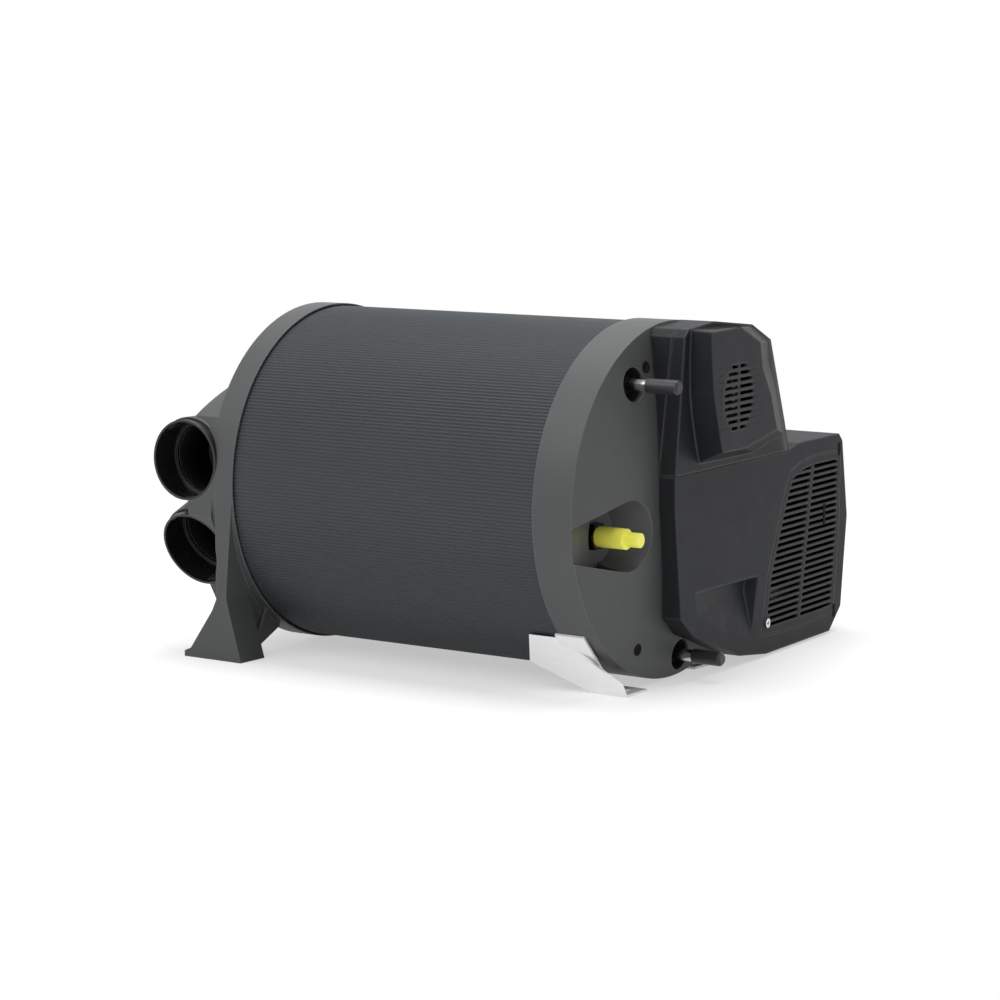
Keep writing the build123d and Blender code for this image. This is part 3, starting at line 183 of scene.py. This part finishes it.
def metal(name, colour, roughness, streak=(1.0, 1.0, 1.0), metallic=1.0):
    """Metal with fine streaks and a little uneven sheen."""
    material, tree, shader = node_material(name)
    stretch = tree.nodes.new("ShaderNodeMapping")
    stretch.inputs["Scale"].default_value = streak
    tree.links.new(object_place(tree), stretch.inputs["Vector"])
    lines = noise(tree, stretch.outputs["Vector"], streak_scale)
    shader.inputs["Metallic"].default_value = metallic
    dark = tuple(c * streak_dark for c in colour)
    tree.links.new(tone(tree, lines, dark, colour), shader.inputs["Base Color"])
    uneven = span(tree, lines, roughness - streak_below, roughness + streak_above)
    tree.links.new(uneven, shader.inputs["Roughness"])
    bump(tree, shader, lines, streak_depth)
    return material


smooth_grain = {"grain": 450.0, "depth": 0.00002}

# The second colour of each moulding is its painted edge highlight.
finishes = {
    "jacket": moulding("slate_jacket", (0.027, 0.032, 0.036), (0.058, 0.066, 0.072), 0.46, 0.26),
    "cap_grey": moulding("cap_grey", (0.060, 0.062, 0.063), (0.14, 0.14, 0.14), 0.48, 0.3),
    "cover_black": moulding(
        "cover_black", (0.016, 0.017, 0.019), (0.080, 0.082, 0.085), 0.5, 0.12, edge=0.003
    ),
    "socket_black": moulding(
        "socket_black", (0.008, 0.008, 0.009), (0.05, 0.05, 0.05), 0.26, 0.4, **smooth_grain
    ),
    "cap_soft": moulding("soft_cap", (0.020, 0.020, 0.024), (0.07, 0.07, 0.08), 0.34, 0.4, **smooth_grain),
    "yellow": moulding("yellow_cap", (0.86, 0.83, 0.11), (0.92, 0.90, 0.24), 0.32, 0.5, **smooth_grain),
    "black_nut": metal("black_nut", (0.016, 0.016, 0.018), 0.38),
    "white_metal": metal("white_metal", (0.90, 0.90, 0.91), 0.34, (0.2, 1.0, 1.0), 0.35),
    "steel": metal("steel", (0.72, 0.72, 0.72), 0.2, (0.05, 1.0, 1.0)),
    "cast_aluminium": metal("cast_aluminium", (0.62, 0.63, 0.64), 0.48),
    "foam": moulding("foam", (0.62, 0.61, 0.57), (0.72, 0.71, 0.67), 0.85, 0.2, 300.0, 0.0002),
    "board": moulding("control_case", (0.03, 0.06, 0.045), (0.08, 0.11, 0.10), 0.5),
}

# Black rubber, taken darker than rubber is so that recesses, holes, slots and sockets get painted shade.
black_rubber_and_painted_shade = moulding("black_rubber_and_painted_shade", (0.004, 0.004, 0.004), (0.012, 0.012, 0.012), 0.7, 0.08)
dark_casting = metal("dark_casting", (0.030, 0.030, 0.032), 0.6)
node_finishes = {
    "combustion_fan_housing": dark_casting,
    "combustion_fan_wheel": dark_casting,
    "hot_pipe_grommet": black_rubber_and_painted_shade,
    "cold_pipe_grommet": black_rubber_and_painted_shade,
}

slots = {part["node"]: part["material_slot"] for part in frame["record"]["subparts"]}
finely_faceted = ("cylinder_jacket", "intake_grille")
edge_widths = {
    "fan_housing_cover": cover_edge,
    "electronics_cover": cover_edge,
    "left_end_cap": cap_edge,
    "right_end_cap": cap_edge,
}
for name, obj in nodes.items():
    obj.data.materials.clear()
    obj.data.materials.append(node_finishes.get(name, finishes[slots[name]]))
    if name not in finely_faceted:
        soften = obj.modifiers.new("soft_edges", "BEVEL")
        soften.width = edge_widths.get(name, small_edge)
        soften.segments = edge_segments
        soften.limit_method = "ANGLE"
        soften.angle_limit = sharp_angle
        soften.harden_normals = True

# Small trim that rides on the heater


def add_piece(name, points, faces, slot, finish=None):
    """A mesh piece fixed to the heater, with the finish of a material slot or one of its own."""
    mesh = bpy.data.meshes.new(name)
    mesh.from_pydata(points, [], faces)
    mesh.materials.append(finish or finishes[slot])
    piece = bpy.data.objects.new(name, mesh)
    bpy.context.collection.objects.link(piece)
    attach(piece, "heater")
    return piece


def turned(name, origin, along, profile, slot, finish=None, steps=48):
    """A ring turned about an axis from a closed profile of (distance along the axis, radius)."""
    axis = Vector(along).normalized()
    across = axis.orthogonal().normalized()
    third = axis.cross(across)
    points = []
    for step in range(steps):
        turn = 2 * pi * step / steps
        out = across * cos(turn) + third * sin(turn)
        points += [tuple(Vector(origin) + axis * reach + out * radius) for reach, radius in profile]
    count = len(profile)
    faces = []
    for step in range(steps):
        here = step * count
        there = (step + 1) % steps * count
        for corner in range(count):
            after = (corner + 1) % count
            faces.append((here + corner, here + after, there + after, there + corner))
    piece = add_piece(name, points, faces, slot, finish)
    for face in piece.data.polygons:
        face.use_smooth = True
    return piece


def dome_x(y, z):
    """The x of the domed face at a place."""
    return dome_centre_x + sqrt(dome_radius**2 - hypot(y - axis_place[0], z - axis_place[1]) ** 2)


# Rubber linings of the two pipe recesses, each a cup with a soft fold round the pipe, in near-black that
# also paints the recess's shade

recess_depth = 0.012
lining_wall = 0.0012
lining_floor = 0.0014
lining_gap = 0.0001
grommet_flange_radius = 0.0109
grommet_flange_top = 0.0013
pipe_clear_radius = 0.0054
fold_rise = 0.005
rim_drop = 0.0022
pipe_recesses = {"hot": ((-0.14097, 0.25133), 0.014), "cold": ((-0.0645, 0.02014), 0.013)}

for pipe_name, (place, radius) in pipe_recesses.items():
    floor_x = dome_x(*place) - recess_depth
    wall_radius = radius - lining_gap
    rim = recess_depth - rim_drop
    cup = [
        (lining_gap, grommet_flange_radius),
        (lining_gap, wall_radius),
        (rim, wall_radius),
        (rim, wall_radius - lining_wall),
        (lining_floor, wall_radius - lining_wall),
        (lining_floor, grommet_flange_radius),
    ]
    turned(f"{pipe_name}_recess_lining", (floor_x, *place), (1, 0, 0), cup, "cap_soft", black_rubber_and_painted_shade)
    fold = [
        (grommet_flange_top, pipe_clear_radius),
        (grommet_flange_top, grommet_flange_radius - lining_wall),
        (grommet_flange_top + fold_rise / 2, grommet_flange_radius - 2 * lining_wall),
        (grommet_flange_top + fold_rise, pipe_clear_radius + lining_wall),
        (grommet_flange_top + fold_rise, pipe_clear_radius),
    ]
    turned(f"{pipe_name}_recess_fold", (floor_x, *place), (1, 0, 0), fold, "cap_soft", black_rubber_and_painted_shade)

# Cable grommets in the two small holes of the domed face

grommet_inner = 0.0021
grommet_outer = 0.0050
grommet_proud = 0.0005
grommet_shoulder = 0.6
grommet_sunk = 0.0001
cable_holes = ((-0.12245, 0.26423), (-0.13074, 0.03377))

for number, place in enumerate(cable_holes, 1):
    face_x = dome_x(*place)
    outward = (face_x - dome_centre_x, place[0] - axis_place[0], place[1] - axis_place[1])
    ring = [
        (grommet_sunk, grommet_inner),
        (grommet_sunk, grommet_outer),
        (grommet_proud * grommet_shoulder, grommet_outer),
        (grommet_proud, grommet_outer - grommet_proud),
        (grommet_proud, grommet_inner),
    ]
    turned(f"cable_grommet_{number}", (face_x, *place), outward, ring, "cap_soft", black_rubber_and_painted_shade)

# Each socket's duct clips, two curved tabs on its inner wall, and a near-black liner deeper in, painted
# shade for the socket's depth

socket_x = -0.2085
socket_bore = 0.0328
socket_outer = 0.0347
lower_tilt = radians(23)
mouth_shift = socket_outer * sin(lower_tilt)
clip_turns = (radians(122), radians(276))
clip_half_turn = radians(8)
clip_thickness = 0.0006
clip_start = 0.004
clip_end = 0.012
clip_steps = 6
clip_corners = 4
liner_outer = 0.0303
liner_start = 0.0292
liner_end = 0.066
near_mouth_y = -0.225
far_mouth_y = 0.0714
upper_z = 0.171
lower_z = 0.0918
socket_mouths = {
    "near_upper": ((socket_x, near_mouth_y, upper_z), (0, -1, 0)),
    "near_lower": ((socket_x, near_mouth_y + mouth_shift, lower_z), (0, -cos(lower_tilt), -sin(lower_tilt))),
    "far_upper": ((socket_x, far_mouth_y, upper_z), (0, 1, 0)),
    "far_lower": ((socket_x, far_mouth_y - mouth_shift, lower_z), (0, cos(lower_tilt), -sin(lower_tilt))),
}

for socket_name, (mouth, outward) in socket_mouths.items():
    axis = Vector(outward)
    sideways = Vector((1, 0, 0))
    upward = Vector((0, -axis.z, axis.y)) if axis.y > 0 else Vector((0, axis.z, -axis.y))
    points = []
    faces = []
    for clip_turn in clip_turns:
        for step in range(clip_steps + 1):
            turn = clip_turn - clip_half_turn + 2 * clip_half_turn * step / clip_steps
            out = sideways * cos(turn) + upward * sin(turn)
            for reach, radius in (
                (clip_start, socket_bore - lining_gap),
                (clip_end, socket_bore - lining_gap),
                (clip_end, socket_bore - clip_thickness),
                (clip_start, socket_bore - clip_thickness),
            ):
                points.append(tuple(Vector(mouth) - axis * reach + out * radius))
        first = len(points) - clip_corners * (clip_steps + 1)
        last = len(points) - clip_corners
        for step in range(clip_steps):
            here = first + clip_corners * step
            there = here + clip_corners
            for corner in range(clip_corners):
                after = (corner + 1) % clip_corners
                faces.append((here + corner, here + after, there + after, there + corner))
        faces.append((first, first + 3, first + 2, first + 1))
        faces.append((last, last + 1, last + 2, last + 3))
    add_piece(f"duct_clips_{socket_name}", points, faces, "cap_soft")
    # The liner is near-black so that the socket's inside reads as painted shade.
    liner = [
        (-liner_end, liner_outer),
        (-liner_start, liner_outer),
        (-liner_start, liner_outer - lining_wall),
        (-liner_end, liner_outer - lining_wall),
    ]
    turned(f"duct_shade_liner_{socket_name}", mouth, outward, liner, "socket_black", black_rubber_and_painted_shade)


def front_x(y, front, turn):
    """The x of a cover's turned front at a y."""
    return front - (y - cover_left_y) * tan(turn)


def front_plate(name, outline, front, turn, sunk, proud, slot, finish=None):
    """A thin plate on a cover's front, from an outline in y and z."""
    points = []
    for rise in (-sunk, proud):
        points += [(front_x(y, front, turn) + rise, y, z) for y, z in outline]
    count = len(outline)
    faces = [tuple(reversed(range(count))), tuple(range(count, 2 * count))]
    for corner in range(count):
        after = (corner + 1) % count
        faces.append((corner, after, count + after, count + corner))
    return add_piece(name, points, faces, slot, finish)


def slot_outline(y, z, width, height, steps=8):
    """An upright slot with round ends."""
    radius = width / 2
    straight = height / 2 - radius
    ends = []
    for middle, start in ((z + straight, 0.0), (z - straight, pi)):
        for step in range(steps + 1):
            turn = start + pi * step / steps
            ends.append((y + radius * cos(turn), middle + radius * sin(turn)))
    return ends


# Louvre lines on both sides of the round vent, one beside each of its slots

vent_place = (-0.05201, 0.23693)
vent_radius = 0.029
vent_rows = 10
vent_pitch = 0.0056
louvre_half_height = 0.0004
louvre_sunk = 0.0001
louvre_proud = 0.0003
louvre_gap = 0.003
louvre_left = -0.088
louvre_right = -0.006

for row in range(vent_rows):
    rise = (row - (vent_rows - 1) / 2) * vent_pitch
    z = vent_place[1] + rise
    half = sqrt(vent_radius**2 - rise**2) + louvre_gap
    for side, start, end in (
        ("left", louvre_left, vent_place[0] - half),
        ("right", vent_place[0] + half, louvre_right),
    ):
        low = z - louvre_half_height
        high = z + louvre_half_height
        bar = [(start, low), (end, low), (end, high), (start, high)]
        bar_name = f"louvre_{side}_{row}"
        front_plate(bar_name, bar, bump_front_x, bump_front_turn, louvre_sunk, louvre_proud, "cover_black")

# The latch slot in the grille and the screw wells in the box's corners as near-black flat plates of painted
# shade, and the screw's cross recess as a dark flat cross of painted shade

well_sunk = 0.0001
well_proud = 0.0003
painted_well_shades = {
    "grille_latch_slot": (0.1754, 0.1105, 0.0042, 0.020),
    "screw_well_top": (0.2062, 0.1660, 0.0046, 0.012),
    "screw_well_foot": (0.1995, 0.0200, 0.0046, 0.012),
}
well_seat = (lower_front_x, lower_front_turn, well_sunk, well_proud)
# Each plate is painted shade where the slot or well would be a hole.
for well_name, (y, z, width, height) in painted_well_shades.items():
    front_plate(well_name, slot_outline(y, z, width, height), *well_seat, "cover_black", black_rubber_and_painted_shade)

screw_place = (0.05852, 0.02973)
screw_head_top = 0.0023
recess_length = 0.0040
recess_width = 0.0009
recess_half_depth = 0.0001
# A thin dark cross on the screw head, painted shade of its cross recess.
for recess_name, width, height in (
    ("screw_recess_shade_across", recess_length, recess_width),
    ("screw_recess_shade_upright", recess_width, recess_length),
):
    y, z = screw_place
    outline = [
        (y - width / 2, z - height / 2),
        (y + width / 2, z - height / 2),
        (y + width / 2, z + height / 2),
        (y - width / 2, z + height / 2),
    ]
    recess_seat = (lower_front_x + screw_head_top, lower_front_turn, recess_half_depth, recess_half_depth)
    front_plate(recess_name, outline, *recess_seat, "black_nut")

# Studio: a pale floor, a white surround for the camera, and soft lamps

studio_white = (0.93, 0.93, 0.93)
floor_dark = 0.99
floor_patch_scale = 3.0
floor_roughness = 0.6
floor_reach = 8.0
shaded_reach = 0.45
white_reach = 1.1
white_near = 0.5
surround_light = 0.55

floor_mesh = bpy.data.meshes.new("floor")
floor_corners = ((-1, -1), (1, -1), (1, 1), (-1, 1))
floor_points = [(x * floor_reach, y * floor_reach, 0.0) for x, y in floor_corners]
floor_mesh.from_pydata(floor_points, [], [(0, 1, 2, 3)])
floor = bpy.data.objects.new("floor", floor_mesh)
bpy.context.collection.objects.link(floor)


def seen_rays(tree):
    """1 for rays that show the background: from the camera, off gloss, or through glass."""
    rays = tree.nodes.new("ShaderNodeLightPath")
    seen = rays.outputs["Is Camera Ray"]
    for kind in ("Is Glossy Ray", "Is Transmission Ray"):
        either = tree.nodes.new("ShaderNodeMath")
        either.operation = "MAXIMUM"
        tree.links.new(seen, either.inputs[0])
        tree.links.new(rays.outputs[kind], either.inputs[1])
        seen = either.outputs[0]
    return seen


floor_material, floor_tree, floor_shader = node_material("studio_floor")
floor_place = object_place(floor_tree)
floor_pale = tuple(c * floor_dark for c in studio_white)
floor_patches = noise(floor_tree, floor_place, floor_patch_scale)
floor_tint = tone(floor_tree, floor_patches, floor_pale, studio_white)
floor_tree.links.new(floor_tint, floor_shader.inputs["Base Color"])
floor_shader.inputs["Roughness"].default_value = floor_roughness
floor_distance = floor_tree.nodes.new("ShaderNodeVectorMath")
floor_distance.operation = "LENGTH"
floor_tree.links.new(floor_place, floor_distance.inputs[0])
whiteness = span(floor_tree, floor_distance.outputs["Value"], white_near, 1.0, shaded_reach, white_reach)
shown = floor_tree.nodes.new("ShaderNodeMath")
shown.operation = "MULTIPLY"
floor_tree.links.new(whiteness, shown.inputs[0])
floor_tree.links.new(seen_rays(floor_tree), shown.inputs[1])
glow = floor_tree.nodes.new("ShaderNodeEmission")
blend = floor_tree.nodes.new("ShaderNodeMixShader")
floor_tree.links.new(shown.outputs[0], blend.inputs["Fac"])
floor_tree.links.new(floor_shader.outputs["BSDF"], blend.inputs[1])
floor_tree.links.new(glow.outputs["Emission"], blend.inputs[2])
floor_tree.links.new(blend.outputs["Shader"], floor_tree.nodes["Material Output"].inputs["Surface"])
floor_mesh.materials.append(floor_material)

world = bpy.data.worlds.new("studio")
bpy.context.scene.world = world
world.use_nodes = True
world_tree = world.node_tree
surround = world_tree.nodes["Background"]
surround.inputs["Color"].default_value = (1.0, 1.0, 1.0, 1.0)
brightness = span(world_tree, seen_rays(world_tree), surround_light, 1.0)
world_tree.links.new(brightness, surround.inputs["Strength"])


def lamp(name, place, target, size, power):
    """A square soft lamp that looks at a target."""
    light = bpy.data.lights.new(name, "AREA")
    light.size = size
    light.energy = power
    holder = bpy.data.objects.new(name, light)
    holder.location = place
    holder.rotation_euler = (Vector(target) - Vector(place)).to_track_quat("-Z", "Y").to_euler()
    bpy.context.collection.objects.link(holder)


middle = (0.0, 0.0, 0.15)
lamp("key", (-0.7, -1.9, 1.9), middle, size=1.6, power=24.0)
lamp("right_fill", (2.2, -0.6, 1.2), middle, size=1.2, power=1.0)
lamp("top", (0.0, 0.2, 2.2), middle, size=1.4, power=46.0)

camera = bpy.data.cameras.new("camera")
camera.sensor_width = sensor_width
camera.lens = focal_px * sensor_width / image_width_px
viewer = bpy.data.objects.new("camera", camera)
viewer.location = camera_place
viewer.rotation_euler = (radians(90 - camera_pitch), 0.0, radians(camera_yaw))
bpy.context.collection.objects.link(viewer)
bpy.context.scene.camera = viewer
bpy.context.scene.view_settings.view_transform = "Standard"
